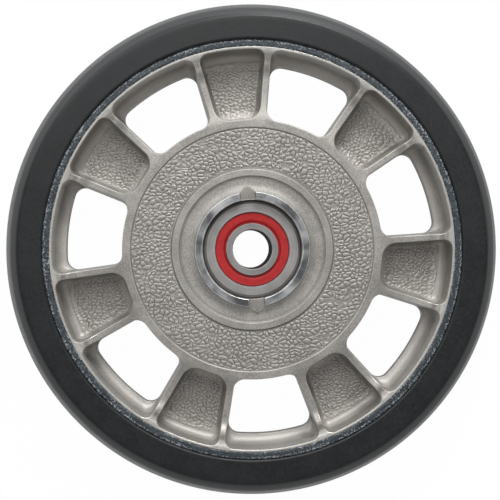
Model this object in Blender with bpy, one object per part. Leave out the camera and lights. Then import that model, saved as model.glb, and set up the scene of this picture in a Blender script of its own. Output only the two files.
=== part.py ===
"""Hand truck wheel: a cast wheel with paired ribs, a moulded rubber tyre and two sealed ball bearings.

Run it with blender --background --python part.py, or from Blender's text editor.
Lengths are metres. The wheel turns about +Z, and the origin is the middle of its hub.
"""
import math

import bmesh
import bpy

MM = 0.001
DEG = math.pi / 180

# Sizes of the whole wheel
WHEEL_DIAMETER = 203.2 * MM
TYRE_WIDTH = 39.0 * MM
RIM_WIDTH = 37.0 * MM
HUB_LENGTH = 40.6 * MM
SEAT_GAP = 0.2 * MM          # left between two pieces that bear on each other

# Rubber tyre
TYRE_THICKNESS = 17.1 * MM   # from the rim's bed to the top of the tread
TREAD_RADIUS = 42.0 * MM     # crown of the tread across its width
SHOULDER_RADIUS = 4.2 * MM
FLASH_WIDTH = 2.2 * MM       # thin rubber skin that laps over the rim's edge
FLASH_THICKNESS = 0.8 * MM
FLASH_GROOVE = 0.5 * MM      # width and depth of the groove between flash and side wall
SIDE_RISE = 0.9 * MM         # slope from the groove up to the flat side wall

# Cast rim and web
RIM_THICKNESS = 3.7 * MM
WEB_THICKNESS = 6.0 * MM
LEDGE_WIDTH = 3.8 * MM       # web left between a window and the rim
LEDGE_FALL = 0.5 * MM        # the ledge's slope towards the window
DRAFT_ANGLE = 2.4 * DEG
FLOOR_FILLET = 2.5 * MM

# Ribs, windows and pockets
PATTERN_COUNT = 7
FIRST_WINDOW_ANGLE = 70.3 * DEG
WINDOW_HALF_ANGLE = 15.07 * DEG   # from a window's middle to the middle of its rib
RIB_THICKNESS = 2.4 * MM
RIB_DIP = 3.0 * MM           # fall of a rib's top from the hub disc to its lowest point
RIB_LOW_SHARE = 0.465        # place of that lowest point, of the rib's length
RIB_END_MARGIN = 0.5 * MM    # kept between an opening and each end of a rib's curve
LIP_RISE = 0.7 * MM          # the rim's lip slopes up to the rubber by this much
WINDOW_CORNER = 3.6 * MM
POCKET_HUB_CORNER = 6.4 * MM
POCKET_RIM_CORNER = 3.4 * MM

# Hub disc and its stepped boss
HUB_DISC_DIAMETER = 105.4 * MM
DISC_FACE_DROP = 2.3 * MM    # from the collar's face down to the disc's land
LAND_WIDTH = 3.1 * MM
PANEL_DEPTH = 0.6 * MM       # textured ring, below the land
BOSS_HEIGHT = 0.6 * MM       # boss ring, above the land
BOSS_WIDTH = 3.2 * MM
BOSS_CHAMFER = 0.4 * MM
TROUGH_WIDTH = 6.4 * MM
TROUGH_FILLET = 5.5 * MM
TROUGH_ANGLE = 40.0 * DEG    # how steeply the trough meets the collar
COLLAR_WIDTH = 2.9 * MM
COLLAR_CHAMFER = 0.4 * MM

# Casting notches across the collar
NOTCH_ANGLE = 95.0 * DEG
NOTCH_WIDTH = 6.8 * MM
NOTCH_SIDE_LENGTH = 3.3 * MM   # straight part of the notch, from the bearing seat outwards
NOTCH_TIP_LENGTH = 2.6 * MM
NOTCH_HEIGHT = 0.7 * MM        # its floor, above the disc's land

# Sealed ball bearing
BEARING_BORE = 15.875 * MM
BEARING_DIAMETER = 39.6 * MM
BEARING_WIDTH = 11.0 * MM
INNER_RING_SHARE = 0.236       # of the height from bore to outside, from the bore out to the seal
OUTER_RING_SHARE = 0.409       # the same, from the seal out to the outside
BALL_SHARE = 0.5353            # the same, across a ball
RACE_SHARE = 0.135             # the same, depth of the grooves that the balls run in
BEARING_CORNER = 1.3 * MM
BORE_CHAMFER = 0.35 * MM
BEARING_RECESS = 3.2 * MM      # bearing's face, below the collar's face
SEAT_LEAD_IN = 0.35 * MM
SHOULDER_HEIGHT = 2.3 * MM     # step in the hub that the bearings seat against
BALL_COUNT = 8
PITCH_STEP = 0.5 * MM          # pitch circle's diameter, above that of the seal's middle
BALL_PLAY = 0.2 * MM
SEAL_THICKNESS = 0.6 * MM
SEAL_RECESS = 0.7 * MM         # seal's face, below the bearing's face
SEAL_LIP_WIDTH = 0.8 * MM      # thinner inner edge of a seal
CAGE_WALL = 0.5 * MM           # behind the balls
CAGE_SHARE = 0.425             # cage's thickness, of a ball's diameter
GRIP_SHARE = 0.236             # how far the cage reaches past the balls' middle, of their diameter
CAGE_PLAY = 0.15 * MM

# Spacer sleeve between the inner rings
SLEEVE_WALL = 2.2 * MM

# Facets
WHEEL_SEGMENTS = 42
TYRE_SEGMENTS = 56
BEARING_SEGMENTS = 24
ARC_STEPS = 2
CORNER_STEPS = 2
CAGE_CUP_SEGMENTS = 6
CUTTER_CLEARANCE = 2.0 * MM    # how far a cutter runs past the face that it opens
TRIM = 0.05 * MM               # a cutter's margin round the form that it trims
MERGE_DISTANCE = 0.001 * MM
SMOOTH_ANGLE = 30 * DEG

# Worked out from the sizes above
WHEEL_RADIUS = WHEEL_DIAMETER / 2
BED_RADIUS = WHEEL_RADIUS - TYRE_THICKNESS - SEAT_GAP
LIP_RADIUS = BED_RADIUS - FLASH_WIDTH
RIM_INNER_RADIUS = BED_RADIUS - RIM_THICKNESS
RIM_FACE = RIM_WIDTH / 2
COLLAR_FACE = HUB_LENGTH / 2
LAND_FACE = COLLAR_FACE - DISC_FACE_DROP
DISC_RADIUS = HUB_DISC_DIAMETER / 2
WEB_FACE = WEB_THICKNESS / 2
SEAT_RADIUS = BEARING_DIAMETER / 2 + SEAT_GAP
COLLAR_INNER_RADIUS = SEAT_RADIUS + SEAT_LEAD_IN
COLLAR_OUTER_RADIUS = COLLAR_INNER_RADIUS + COLLAR_WIDTH
TROUGH_RADIUS = COLLAR_OUTER_RADIUS + TROUGH_WIDTH
BOSS_RADIUS = TROUGH_RADIUS + BOSS_WIDTH
BEARING_FACE = COLLAR_FACE - BEARING_RECESS
BEARING_MIDDLE = BEARING_FACE - BEARING_WIDTH / 2
BEARING_BACK = BEARING_FACE - BEARING_WIDTH
BEARING_HEIGHT = (BEARING_DIAMETER - BEARING_BORE) / 2
BALL_DIAMETER = BALL_SHARE * BEARING_HEIGHT
BALL_RADIUS = BALL_DIAMETER / 2
RACE_DEPTH = RACE_SHARE * BEARING_HEIGHT
CAGE_THICKNESS = CAGE_SHARE * BALL_DIAMETER
CAGE_GRIP = GRIP_SHARE * BALL_DIAMETER
SEAL_INNER_DIAMETER = BEARING_BORE + 2 * INNER_RING_SHARE * BEARING_HEIGHT
SEAL_OUTER_DIAMETER = BEARING_DIAMETER - 2 * OUTER_RING_SHARE * BEARING_HEIGHT
PITCH_DIAMETER = (SEAL_INNER_DIAMETER + SEAL_OUTER_DIAMETER) / 2 + PITCH_STEP
PITCH_RADIUS = PITCH_DIAMETER / 2
BORE_RADIUS = BEARING_BORE / 2
PATTERN_ANGLE = 2 * math.pi / PATTERN_COUNT
POCKET_HALF_ANGLE = PATTERN_ANGLE / 2 - WINDOW_HALF_ANGLE


def linear(channel):
    """One sRGB channel from 0 to 255 as Blender's linear value."""
    share = channel / 255
    return share / 12.92 if share <= 0.04045 else ((share + 0.055) / 1.055) ** 2.4


def make_material(name, colour, roughness, metallic):
    material = bpy.data.materials.new(name)
    material.use_nodes = True
    shader = material.node_tree.nodes["Principled BSDF"]
    shader.inputs["Base Color"].default_value = [linear(c) for c in colour] + [1]
    shader.inputs["Roughness"].default_value = roughness
    shader.inputs["Metallic"].default_value = metallic
    return material


def mesh_from(bm, name):
    bmesh.ops.recalc_face_normals(bm, faces=bm.faces)
    mesh = bpy.data.meshes.new(name)
    bm.to_mesh(mesh)
    bm.free()
    mesh.shade_smooth()
    mesh.set_sharp_from_angle(angle=SMOOTH_ANGLE)
    return mesh


def add_object(name, mesh, parent=None, location=(0, 0, 0), material=None):
    """Place a mesh as a named object; only the first object of a shared mesh gives it its material."""
    if material:
        mesh.materials.append(material)
    item = bpy.data.objects.new(name, mesh)
    bpy.context.scene.collection.objects.link(item)
    item.parent = parent
    item.location = location
    return item


def add_axis(name, height):
    """Empty on the wheel's axis, which carries the pieces that turn together."""
    axis = bpy.data.objects.new(name, None)
    bpy.context.scene.collection.objects.link(axis)
    axis.location = (0, 0, height)
    return axis


def boolean(item, operation, tool_mesh, parent=None):
    """Add a Boolean to item, with a hidden tool object that holds the given mesh."""
    tool = add_object(item.name + "_" + tool_mesh.name, tool_mesh, parent)
    tool.hide_render = True
    tool.display_type = "WIRE"
    modifier = item.modifiers.new(tool_mesh.name, "BOOLEAN")
    modifier.operation = operation
    modifier.object = tool


def arc(radius_at, height_at, size, start, end, steps=ARC_STEPS):
    """Points of an arc in the section plane, as (radius, height), from one angle to another."""
    turns = [start + (end - start) * step / steps for step in range(steps + 1)]
    return [(radius_at + size * math.cos(turn), height_at + size * math.sin(turn)) for turn in turns]


def hollow(low, end):
    """Points of the arc that is level at low, its lowest point, and rises to end."""
    length, rise = end[0] - low[0], end[1] - low[1]
    size = (length ** 2 + rise ** 2) / (2 * rise)
    return arc(low[0], low[1] + size, size, -math.pi / 2, -math.pi / 2 + math.asin(length / size))


def both_faces(front, middle=()):
    """Closed section from its front half, which runs from the bore outwards, and what crosses the middle."""
    return front + list(middle) + [(radius, -height) for radius, height in reversed(front)]


def turn(profile, segments):
    """Ring of revolution: the closed (radius, height) section spun once round +Z."""
    bm = bmesh.new()
    points = [bm.verts.new((radius, 0, height)) for radius, height in profile]
    edges = [bm.edges.new(pair) for pair in zip(points, points[1:] + points[:1])]
    bmesh.ops.spin(
        bm, geom=points + edges, cent=(0, 0, 0), axis=(0, 0, 1),
        angle=2 * math.pi, steps=segments, use_merge=True,
    )
    bmesh.ops.remove_doubles(bm, verts=bm.verts, dist=MERGE_DISTANCE)
    return bm


def loft(bm, rings):
    """Skin a row of outlines that have as many points each, and close both ends."""
    loops = [[bm.verts.new(point) for point in ring] for ring in rings]
    for lower, upper in zip(loops, loops[1:]):
        for here, there in zip(range(-1, len(lower) - 1), range(len(lower))):
            bm.faces.new((lower[here], lower[there], upper[there], upper[here]))
    bm.faces.new(loops[0])
    bm.faces.new(reversed(loops[-1]))


def sector_outline(height, middle, half_angle, inner, outer, rib_half, hub_corner, rim_corner):
    """Opening between two ribs, seen along the axis: two arcs, two straight sides and four round corners.

    Each side runs parallel to the middle line of its rib, rib_half away from it. A corner's centre is
    its own radius inside that side and inside the arc that it meets.
    """
    corners = []
    for radius, corner, inwards in ((outer, rim_corner, -1), (inner, hub_corner, 1)):
        reach = radius + inwards * corner
        aside = rib_half + corner
        swing = half_angle - math.asin(aside / reach)
        corners.append((reach, corner, swing))
    outline = []
    (rim_reach, rim_size, rim_swing), (hub_reach, hub_size, hub_swing) = corners

    def add_corner(reach, size, swing, start, end):
        centre = middle + swing
        for step in range(CORNER_STEPS + 1):
            way = middle + start + (end - start) * step / CORNER_STEPS
            outline.append((
                reach * math.cos(centre) + size * math.cos(way),
                reach * math.sin(centre) + size * math.sin(way),
                height,
            ))

    def add_arc(radius, start, end):
        for step in range(1, ARC_STEPS):
            way = middle + start + (end - start) * step / ARC_STEPS
            outline.append((radius * math.cos(way), radius * math.sin(way), height))

    side = half_angle + math.pi / 2
    add_corner(rim_reach, rim_size, rim_swing, rim_swing, side)
    add_corner(hub_reach, hub_size, hub_swing, side, hub_swing + math.pi)
    add_arc(inner, hub_swing, -hub_swing)
    add_corner(hub_reach, hub_size, -hub_swing, math.pi - hub_swing, 2 * math.pi - side)
    add_corner(rim_reach, rim_size, -rim_swing, -side, -rim_swing)
    add_arc(outer, -rim_swing, rim_swing)
    return outline


def wall_steps(fillet_steps):
    """Heights, wall insets and fillet insets down one face of an opening, from outside to the web."""
    top = COLLAR_FACE + CUTTER_CLEARANCE
    steps = [(top, (RIM_FACE - top) * math.tan(DRAFT_ANGLE), 0)]
    for step in range(fillet_steps + 1):
        swing = math.pi / 2 * step / fillet_steps
        height = WEB_FACE + FLOOR_FILLET * (1 - math.sin(swing))
        inset = (RIM_FACE - height) * math.tan(DRAFT_ANGLE)
        steps.append((height, inset, FLOOR_FILLET * (1 - math.cos(swing))))
    return steps


def window_cutter():
    """Seven openings that go right through: a recess on each face, down to the ledge, and the hole itself."""
    bm = bmesh.new()
    for number in range(PATTERN_COUNT):
        middle = FIRST_WINDOW_ANGLE + number * PATTERN_ANGLE
        front = []
        for height, inset, fillet in wall_steps(1):
            front.append((height, inset, RIM_INNER_RADIUS - inset - fillet))
        parting_inset = RIM_FACE * math.tan(DRAFT_ANGLE)
        edge = RIM_INNER_RADIUS - LEDGE_WIDTH
        front.append((WEB_FACE - LEDGE_FALL, front[-1][1] + LEDGE_FALL * math.tan(DRAFT_ANGLE), edge))
        front.append((0, parting_inset, edge - (parting_inset - front[-1][1])))
        levels = front + [(-height, inset, outer) for height, inset, outer in reversed(front[:-1])]
        loft(bm, [
            sector_outline(
                height, middle, WINDOW_HALF_ANGLE, DISC_RADIUS + inset, outer,
                RIB_THICKNESS / 2 + inset, WINDOW_CORNER, WINDOW_CORNER,
            )
            for height, inset, outer in levels
        ])
    return mesh_from(bm, "windows")


def pocket_cutter():
    """Seven blind pockets in each face, between the windows."""
    bm = bmesh.new()
    for face in (1, -1):
        for number in range(PATTERN_COUNT):
            middle = FIRST_WINDOW_ANGLE + (number + 0.5) * PATTERN_ANGLE
            rings = []
            for height, draft, fillet in wall_steps(ARC_STEPS):
                inset = draft + fillet
                rings.append(sector_outline(
                    face * height, middle, POCKET_HALF_ANGLE, DISC_RADIUS + inset, RIM_INNER_RADIUS - inset,
                    RIB_THICKNESS / 2 + inset, POCKET_HUB_CORNER - inset, POCKET_RIM_CORNER - inset,
                ))
            loft(bm, rings)
    return mesh_from(bm, "pockets")


def notch_prisms(name, inner, margin, low, high):
    """House-shaped blocks across the collar, two on each face, between two heights above the land."""
    bm = bmesh.new()
    half = NOTCH_WIDTH / 2 + margin
    eave = SEAT_RADIUS + NOTCH_SIDE_LENGTH + margin
    tip = eave + NOTCH_TIP_LENGTH + margin
    outline = [(inner, -half), (eave, -half), (tip, 0), (eave, half), (inner, half)]
    for face in (1, -1):
        for way in (NOTCH_ANGLE, NOTCH_ANGLE + math.pi):
            along = (math.cos(way), math.sin(way))
            rings = [
                [
                    (out * along[0] - side * along[1], out * along[1] + side * along[0], face * height)
                    for out, side in outline
                ]
                for height in (low, high)
            ]
            loft(bm, rings)
    return mesh_from(bm, name)


def casting_section():
    """Half section of the uncut casting: shoulder, bearing seat, collar, boss, disc, rib top and rim."""
    shoulder = BEARING_BACK - SEAT_GAP
    section = [
        (SEAT_RADIUS - SHOULDER_HEIGHT, shoulder),
        (SEAT_RADIUS, shoulder),
        (SEAT_RADIUS, COLLAR_FACE - 2 * SEAT_LEAD_IN),
        (COLLAR_INNER_RADIUS, COLLAR_FACE),
        (COLLAR_OUTER_RADIUS - COLLAR_CHAMFER, COLLAR_FACE),
        (COLLAR_OUTER_RADIUS, COLLAR_FACE - COLLAR_CHAMFER),
    ]
    fillet_middle = COLLAR_OUTER_RADIUS + TROUGH_FILLET * math.sin(TROUGH_ANGLE)
    section += arc(
        fillet_middle, LAND_FACE + TROUGH_FILLET, TROUGH_FILLET, -math.pi / 2 - TROUGH_ANGLE, -math.pi / 2
    )
    boss_face = LAND_FACE + BOSS_HEIGHT
    rib_root = DISC_RADIUS + RIB_END_MARGIN
    section += [
        (TROUGH_RADIUS, LAND_FACE),
        (TROUGH_RADIUS + BOSS_CHAMFER, boss_face),
        (BOSS_RADIUS - BOSS_CHAMFER, boss_face),
        (BOSS_RADIUS, LAND_FACE - PANEL_DEPTH),
        (DISC_RADIUS - LAND_WIDTH - PANEL_DEPTH / 2, LAND_FACE - PANEL_DEPTH),
        (DISC_RADIUS - LAND_WIDTH, LAND_FACE),
        (rib_root, LAND_FACE),
    ]
    rib_end = RIM_INNER_RADIUS - RIB_END_MARGIN
    low = (rib_root + RIB_LOW_SHARE * (rib_end - rib_root), LAND_FACE - RIB_DIP)
    section += hollow(low, (rib_root, LAND_FACE))[-2::-1]
    section += hollow(low, (rib_end, RIM_FACE - LIP_RISE))[1:]
    section += [
        (LIP_RADIUS, RIM_FACE),
        (LIP_RADIUS, RIM_FACE - FLASH_THICKNESS),
        (BED_RADIUS, RIM_FACE - FLASH_THICKNESS),
    ]
    return section


def make_casting(metal):
    blank = turn(both_faces(casting_section()), WHEEL_SEGMENTS)
    casting = add_object("wheel_casting", mesh_from(blank, "casting"), material=metal)
    floor = LAND_FACE + NOTCH_HEIGHT
    inside = (COLLAR_INNER_RADIUS + COLLAR_OUTER_RADIUS) / 2
    open_end = SEAT_RADIUS - CUTTER_CLEARANCE
    boolean(casting, "UNION", notch_prisms("notch_pads", inside, 0, LAND_FACE - BOSS_HEIGHT, floor + TRIM))
    boolean(
        casting, "DIFFERENCE", notch_prisms("notches", open_end, TRIM, floor, COLLAR_FACE + CUTTER_CLEARANCE)
    )
    boolean(casting, "DIFFERENCE", window_cutter())
    boolean(casting, "DIFFERENCE", pocket_cutter())


def make_tyre(rubber):
    """Tyre: bed and flash over the rim, groove, flat side wall, round shoulder and crowned tread."""
    bed = BED_RADIUS + SEAT_GAP
    face = TYRE_WIDTH / 2
    flash_back = RIM_FACE - FLASH_THICKNESS + SEAT_GAP
    crown_middle = WHEEL_RADIUS - TREAD_RADIUS
    reach = TREAD_RADIUS - SHOULDER_RADIUS
    shoulder_height = face - SHOULDER_RADIUS
    shoulder_middle = crown_middle + math.sqrt(reach ** 2 - shoulder_height ** 2)
    meeting = math.atan2(shoulder_height, shoulder_middle - crown_middle)
    section = [
        (bed, flash_back),
        (LIP_RADIUS + SEAT_GAP, flash_back),
        (LIP_RADIUS + SEAT_GAP, RIM_FACE),
        (bed, RIM_FACE),
        (bed + FLASH_GROOVE / 2, RIM_FACE - FLASH_GROOVE),
        (bed + FLASH_GROOVE + SIDE_RISE, face),
    ]
    section += arc(shoulder_middle, shoulder_height, SHOULDER_RADIUS, math.pi / 2, meeting)
    crown = arc(crown_middle, 0, TREAD_RADIUS, meeting, -meeting, 2 * ARC_STEPS)
    tyre = turn(both_faces(section, crown[1:-1]), TYRE_SEGMENTS)
    add_object("tyre", mesh_from(tyre, "tyre"), material=rubber)


def outer_ring_mesh(steel):
    race_radius = BALL_RADIUS + BALL_PLAY
    land = PITCH_RADIUS + race_radius - RACE_DEPTH
    swing = math.acos((land - PITCH_RADIUS) / race_radius)
    rebate = SEAL_OUTER_DIAMETER / 2 + SEAT_GAP
    face = BEARING_WIDTH / 2
    rebate_floor = face - SEAL_RECESS - SEAL_THICKNESS - SEAT_GAP
    outside = BEARING_DIAMETER / 2
    side = [
        (land, rebate_floor),
        (rebate, rebate_floor),
        (rebate, face),
        *arc(outside - BEARING_CORNER, face - BEARING_CORNER, BEARING_CORNER, math.pi / 2, 0),
    ]
    race = arc(PITCH_RADIUS, 0, race_radius, -swing, swing, 2 * ARC_STEPS)
    mesh = mesh_from(turn(both_faces(side[::-1], race[::-1]), BEARING_SEGMENTS), "outer_ring")
    mesh.materials.append(steel)
    return mesh


def inner_ring_mesh(steel):
    race_radius = BALL_RADIUS + BALL_PLAY
    land = PITCH_RADIUS - race_radius + RACE_DEPTH
    swing = math.acos((PITCH_RADIUS - land) / race_radius)
    shoulder = SEAL_INNER_DIAMETER / 2 - SEAT_GAP
    face = BEARING_WIDTH / 2
    rebate_floor = face - SEAL_RECESS - SEAL_THICKNESS - SEAT_GAP
    side = [
        (land, rebate_floor),
        (shoulder, rebate_floor),
        (shoulder, face),
        (BORE_RADIUS + BORE_CHAMFER, face),
        (BORE_RADIUS, face - BORE_CHAMFER),
    ]
    race = arc(PITCH_RADIUS, 0, race_radius, math.pi - swing, math.pi + swing, 2 * ARC_STEPS)
    mesh = mesh_from(turn(both_faces(side[::-1], race), BEARING_SEGMENTS), "inner_ring")
    mesh.materials.append(steel)
    return mesh


def seal_mesh(rubber):
    """Seal: a flat ring whose inner edge slopes down to a thin lip."""
    inner = SEAL_INNER_DIAMETER / 2
    outer = SEAL_OUTER_DIAMETER / 2
    section = [
        (inner, 0),
        (outer, 0),
        (outer, SEAL_THICKNESS),
        (inner + SEAL_LIP_WIDTH, SEAL_THICKNESS),
        (inner, SEAL_THICKNESS / 2),
    ]
    mesh = mesh_from(turn(section, BEARING_SEGMENTS), "seal")
    mesh.materials.append(rubber)
    return mesh


def ball_mesh(steel):
    bm = bmesh.new()
    bmesh.ops.create_icosphere(bm, subdivisions=2, radius=BALL_RADIUS)
    mesh = mesh_from(bm, "ball")
    mesh.materials.append(steel)
    return mesh


def ball_places():
    """Middles of the balls round the pitch circle, in the bearing's own plane."""
    ways = [2 * math.pi * number / BALL_COUNT for number in range(BALL_COUNT)]
    return [(PITCH_RADIUS * math.cos(way), PITCH_RADIUS * math.sin(way), 0) for way in ways]


def cage_mesh(polymer):
    """Crown cage: a ring behind the balls whose cups reach past their middles."""
    inner = PITCH_RADIUS - CAGE_THICKNESS / 2
    outer = PITCH_RADIUS + CAGE_THICKNESS / 2
    back = -(BALL_RADIUS + CAGE_PLAY + CAGE_WALL)
    section = [(inner, back), (outer, back), (outer, CAGE_GRIP), (inner, CAGE_GRIP)]
    mesh = mesh_from(turn(section, BEARING_SEGMENTS), "cage")
    mesh.materials.append(polymer)
    return mesh


def cage_cutter():
    bm = bmesh.new()
    for place in ball_places():
        made = bmesh.ops.create_uvsphere(
            bm, u_segments=CAGE_CUP_SEGMENTS, v_segments=CAGE_CUP_SEGMENTS - 1,
            radius=(BALL_RADIUS + CAGE_PLAY) / math.cos(math.pi / CAGE_CUP_SEGMENTS),
        )
        bmesh.ops.translate(bm, verts=made["verts"], vec=place)
    return mesh_from(bm, "ball_pockets")


def make_bearings(steel, seal_rubber, cage_polymer):
    """Two bearings, face outwards at each end of the hub, with the balls and cage on an axis of their own."""
    outer_ring = outer_ring_mesh(steel)
    inner_ring = inner_ring_mesh(steel)
    seal = seal_mesh(seal_rubber)
    ball = ball_mesh(steel)
    seal_back = BEARING_WIDTH / 2 - SEAL_RECESS - SEAL_THICKNESS
    for end, height, tilt in (("front", BEARING_MIDDLE, 0), ("rear", -BEARING_MIDDLE, math.pi)):
        axis = add_axis(end + "_bearing_axis", height)
        axis.rotation_euler.x = tilt
        add_object(end + "_outer_ring", outer_ring, axis)
        add_object(end + "_inner_ring", inner_ring, axis)
        add_object(end + "_outer_seal", seal, axis, (0, 0, seal_back))
        inner_seal = add_object(end + "_inner_seal", seal, axis, (0, 0, -seal_back))
        inner_seal.rotation_euler.x = math.pi
        cage = add_object(end + "_cage", cage_mesh(cage_polymer), axis)
        boolean(cage, "DIFFERENCE", cage_cutter(), axis)
        for number, place in enumerate(ball_places(), 1):
            add_object(f"{end}_ball_{number}", ball, axis, place)


def make_sleeve(steel):
    """Sleeve that keeps the two inner rings apart on the axle."""
    half = BEARING_BACK - SEAT_GAP
    outside = BORE_RADIUS + SLEEVE_WALL
    sleeve = turn(both_faces([(BORE_RADIUS, half), (outside, half)]), BEARING_SEGMENTS)
    add_object("spacer_sleeve", mesh_from(sleeve, "sleeve"), material=steel)


def make_wheel():
    make_casting(make_material("cast_metal", (156, 152, 147), 0.5, 0.8))
    make_tyre(make_material("tyre_rubber", (50, 52, 54), 0.65, 0))
    make_bearings(
        make_material("bearing_steel", (152, 152, 150), 0.35, 0.9),
        make_material("seal_rubber", (168, 50, 50), 0.5, 0),
        make_material("cage_polymer", (200, 190, 165), 0.45, 0),
    )
    make_sleeve(make_material("sleeve_steel", (120, 122, 125), 0.4, 0.9))


for thing in list(bpy.data.objects):
    bpy.data.objects.remove(thing)
make_wheel()
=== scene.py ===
# %% [markdown]
# # A hand truck wheel
#
# A cast wheel with seven open windows and seven blind pockets, a black rubber tyre moulded on its rim, and
# a sealed ball bearing at each end of its hub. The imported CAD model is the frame: it fixes every size, and
# this lesson dresses it. Lengths are millimetres until a mesh is made, and the wheel's axis is Z.

# %% Load the frame
import math

import bmesh
import bpy
import numpy as np
from mathutils import Matrix, Vector


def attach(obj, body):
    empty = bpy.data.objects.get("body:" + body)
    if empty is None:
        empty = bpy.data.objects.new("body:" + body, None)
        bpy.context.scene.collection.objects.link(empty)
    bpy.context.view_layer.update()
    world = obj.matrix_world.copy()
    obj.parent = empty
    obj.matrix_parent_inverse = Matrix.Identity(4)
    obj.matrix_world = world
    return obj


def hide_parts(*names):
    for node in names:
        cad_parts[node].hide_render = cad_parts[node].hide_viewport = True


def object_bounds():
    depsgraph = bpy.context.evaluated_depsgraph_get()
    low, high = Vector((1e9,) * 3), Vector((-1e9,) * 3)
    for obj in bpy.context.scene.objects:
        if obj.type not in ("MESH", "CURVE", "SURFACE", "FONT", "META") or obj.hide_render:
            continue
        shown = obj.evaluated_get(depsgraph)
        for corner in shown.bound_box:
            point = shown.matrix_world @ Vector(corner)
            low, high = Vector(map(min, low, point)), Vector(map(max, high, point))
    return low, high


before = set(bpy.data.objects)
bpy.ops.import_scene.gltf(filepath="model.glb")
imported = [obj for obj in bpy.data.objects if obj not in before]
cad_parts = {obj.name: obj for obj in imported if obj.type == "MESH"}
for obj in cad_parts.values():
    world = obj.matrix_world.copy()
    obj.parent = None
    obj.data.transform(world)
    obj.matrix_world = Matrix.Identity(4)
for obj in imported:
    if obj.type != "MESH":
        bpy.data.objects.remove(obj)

MM = 0.001
cad_low, cad_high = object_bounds()
print("CAD box in mm:", [round(v / MM, 1) for v in cad_high - cad_low])

# %% [markdown]
# ## From grids to meshes
#
# Nearly every surface here is a grid of points: rows one way, columns the other. A ring of revolution, a
# wall that follows an outline and a pebbled floor are all grids, so one helper can make all their meshes.
# Grids that share an edge use the same points there. Merging those points closes the seams and poles, and
# recalculating the normals afterwards turns every face outwards.

# %% Mesh helpers
MERGE_DISTANCE = 0.002


def quads(rows, columns, closed):
    """Faces of a grid: each joins two neighbours in a row with the same two in the next row."""
    row, column = np.meshgrid(
        np.arange(rows - 1), np.arange(columns if closed else columns - 1), indexing="ij"
    )
    here = row * columns + column
    beside = row * columns + (column + 1) % columns
    return np.stack([here, beside, beside + columns, here + columns], -1).reshape(-1, 4)


def mark_bends(mesh):
    """Store how sharply the surface bends at each vertex, as the attribute bend.

    Along an edge, the height of its far end over this vertex's tangent plane, doubled and divided by the
    squared length, is one over the bend's radius. The mean over the vertex's edges is negative on a convex
    edge and positive in a hollow.
    """
    points = np.empty(len(mesh.vertices) * 3, np.float32)
    normals = np.empty(len(mesh.vertices) * 3, np.float32)
    ends = np.empty(len(mesh.edges) * 2, np.int32)
    mesh.vertices.foreach_get("co", points)
    mesh.vertex_normals.foreach_get("vector", normals)
    mesh.edges.foreach_get("vertices", ends)
    points, normals, ends = points.reshape(-1, 3) / MM, normals.reshape(-1, 3), ends.reshape(-1, 2)
    total, count = np.zeros(len(points)), np.zeros(len(points))
    for here, there in ((0, 1), (1, 0)):
        way = points[ends[:, there]] - points[ends[:, here]]
        rise = (way * normals[ends[:, here]]).sum(1)
        np.add.at(total, ends[:, here], 2 * rise / np.maximum((way ** 2).sum(1), 1e-6))
        np.add.at(count, ends[:, here], 1)
    bend = mesh.attributes.new("bend", "FLOAT", "POINT")
    bend.data.foreach_set("value", np.clip(total / np.maximum(count, 1), -2, 2).astype(np.float32))


def make_piece(name, grids, materials, body, replaced=()):
    """Piece from (grid, columns closed, material number) rows of millimetre points, on a body of the frame."""
    points, faces, numbers, start = [], [], [], 0
    for grid, closed, number in grids:
        rows, columns = grid.shape[:2]
        points.append(grid.reshape(-1, 3) * MM)
        faces.append(quads(rows, columns, closed) + start)
        numbers.append(np.full(len(faces[-1]), number))
        start += rows * columns
    points, faces = np.concatenate(points), np.concatenate(faces)
    mesh = bpy.data.meshes.new(name)
    mesh.vertices.add(len(points))
    mesh.vertices.foreach_set("co", points.astype(np.float32).ravel())
    mesh.loops.add(faces.size)
    mesh.loops.foreach_set("vertex_index", faces.astype(np.int32).ravel())
    mesh.polygons.add(len(faces))
    mesh.polygons.foreach_set("loop_start", np.arange(0, faces.size, 4, dtype=np.int32))
    mesh.polygons.foreach_set("material_index", np.concatenate(numbers).astype(np.int32))
    mesh.update(calc_edges=True)
    work = bmesh.new()
    work.from_mesh(mesh)
    bmesh.ops.remove_doubles(work, verts=work.verts, dist=MERGE_DISTANCE * MM)
    bmesh.ops.recalc_face_normals(work, faces=work.faces)
    open_edges = sum(not edge.is_manifold for edge in work.edges)
    work.to_mesh(mesh)
    work.free()
    mesh.shade_smooth()
    mesh.set_sharp_from_angle(angle=math.radians(50))
    mark_bends(mesh)
    for material in materials:
        mesh.materials.append(material)
    piece = bpy.data.objects.new(name, mesh)
    bpy.context.scene.collection.objects.link(piece)
    weight = piece.modifiers.new("flat faces stay flat", "WEIGHTED_NORMAL")
    weight.keep_sharp = True
    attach(piece, body)
    if replaced:
        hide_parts(*replaced)
    print(f"{name}: {sum(len(p.vertices) - 2 for p in mesh.polygons)} triangles, {open_edges} open edges")
    return piece


# %% Sections and rings
def polar(radius, angle):
    """Points at a radius and an angle: x is radius times cosine, y is radius times sine."""
    return np.stack(np.broadcast_arrays(radius * np.cos(angle), radius * np.sin(angle)), -1)


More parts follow.
